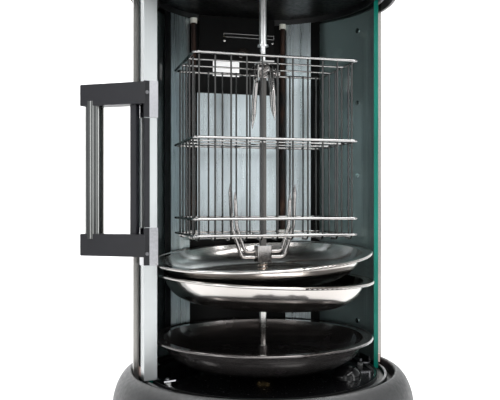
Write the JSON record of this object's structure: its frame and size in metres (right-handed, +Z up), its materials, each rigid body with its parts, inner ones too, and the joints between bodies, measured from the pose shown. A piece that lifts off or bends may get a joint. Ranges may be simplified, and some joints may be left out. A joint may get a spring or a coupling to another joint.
{
  "type": "rotisserie oven",
  "caption": "Upright rotisserie oven with a turning wire basket, forks and pans on a central spit, side heaters, and a curved glass door that swings round into the rear shell.",
  "frame": {"origin": "on the table, under the spit axis", "axes": "+Z up, -Y the front with the controls, +X to the right seen from the front"},
  "size_m": [0.3546, 0.378, 0.572],
  "materials": {
    "rubber": "matt",
    "zinc_steel": "zinc plated",
    "black_plastic": "fine satin moulding",
    "silver_paint": "fine metallic paint",
    "fascia": "satin",
    "knob_plastic": "satin black",
    "pilot_lens": "translucent",
    "button_plastic": "gloss",
    "brass_bush": "machined",
    "spindle_steel": "turned",
    "black_enamel": "glossy enamel",
    "track_metal": "satin, black below the rim",
    "silicone": "pinkish grey",
    "shell_steel": "polished stainless steel",
    "lining_steel": "polished stainless steel",
    "reflector_steel": "bright rolled",
    "element_sheath": "heat-browned",
    "ceramic": "ceramic",
    "white_enamel": "enamel",
    "thin_chrome": "bright",
    "lamp_glass": "clear",
    "door_glass": "clear with green ground edges",
    "aluminium_rail": "satin anodised",
    "clip_chrome": "polished",
    "handle_plastic": "satin black",
    "grip_chrome": "polished",
    "screw_steel": "blackened",
    "nylon": "matt",
    "nonstick": "dark non-stick",
    "pan_steel": "polished stainless steel",
    "spring_steel": "heat-tinted",
    "fork_steel": "polished",
    "wire_chrome": "chrome-plated wire",
    "spit_steel": "darkened"
  },
  "bodies": {
    "cabinet": {"rubber_feet": "rubber", "bottom_cover": "zinc_steel", "lower_casing": "black_plastic", "base_trim_ring": "silver_paint", "cord_gland": "rubber", "control_panel": "fascia", "control_mechanisms": "zinc_steel", "indicator_lens": "pilot_lens", "drive_motor": "zinc_steel", "motor_bracket": "zinc_steel", "spindle_bushes": "brass_bush", "door_track": "track_metal", "well_skirt": "black_plastic", "floor_plate": "black_enamel", "floor_cap": "black_enamel", "bumpers": "silicone", "outer_shell": "shell_steel", "inner_shell": "lining_steel", "shell_posts": "shell_steel", "shell_rivets": "thin_chrome", "heater_back_wall": "black_enamel", "side_reflectors": "reflector_steel", "center_reflector": "reflector_steel", "heater_shelf": "black_enamel", "heater_tubes": "element_sheath", "heater_insulators": "ceramic", "upper_panel": "black_enamel", "lamp_reflector": "white_enamel", "lamp_frame": "thin_chrome", "lamp_bulb": "lamp_glass", "ceiling_plate": "black_enamel", "upper_track": "track_metal", "top_trim_ring": "silver_paint", "top_cap": "black_plastic", "drip_tray": "nonstick"},
    "door": {"door_glass": "door_glass", "door_stile": "aluminium_rail", "handle_clips": "clip_chrome", "handle_blocks": "handle_plastic", "handle_grip": "grip_chrome", "handle_spine": "handle_plastic", "door_screws": "screw_steel", "glass_feet": "clip_chrome", "door_glides": "nylon"},
    "spit": {"drive_spindle": "spindle_steel", "lower_pan": "pan_steel", "pan_spacer": "spindle_steel", "upper_pan": "pan_steel", "spit_spring": "spring_steel", "spit_rod": "spit_steel", "lower_fork": "fork_steel", "upper_fork": "fork_steel", "thumbscrews": "fork_steel", "basket_rings": "wire_chrome", "basket_uprights": "wire_chrome", "basket_cross_wires": "wire_chrome"},
    "pin": {"top_pin": "thin_chrome"},
    "timer": {"timer_knob": "knob_plastic"},
    "thermostat": {"thermostat_knob": "knob_plastic"},
    "button": {"lamp_button": "button_plastic"}
  },
  "joints": [
    {"name": "door_turn", "type": "hinge", "parent": "cabinet", "child": "door", "pos_m": [0, 0, 0], "axis": [0, 0, 1], "range_deg": [0, 162]},
    {"name": "spit_turn", "type": "hinge", "parent": "cabinet", "child": "spit", "pos_m": [0, 0, 0], "axis": [0, 0, 1], "continuous": true},
    {"name": "pin_lift", "type": "slide", "parent": "cabinet", "child": "pin", "axis": [0, 0, 1], "range_m": [0, 0.024]},
    {"name": "timer_turn", "type": "hinge", "parent": "cabinet", "child": "timer", "pos_m": [-0.04, -0.195, 0.034], "axis": [0, 0.9702, -0.2425], "range_deg": [0, 300]},
    {"name": "thermostat_turn", "type": "hinge", "parent": "cabinet", "child": "thermostat", "pos_m": [0.04, -0.195, 0.034], "axis": [0, 0.9702, -0.2425], "range_deg": [0, 270]},
    {"name": "button_press", "type": "slide", "parent": "cabinet", "child": "button", "axis": [0, 0.9702, -0.2425], "range_m": [0, 0.002], "stiffness_N_per_m": 300, "springref_m": -0.0005}
  ]
}
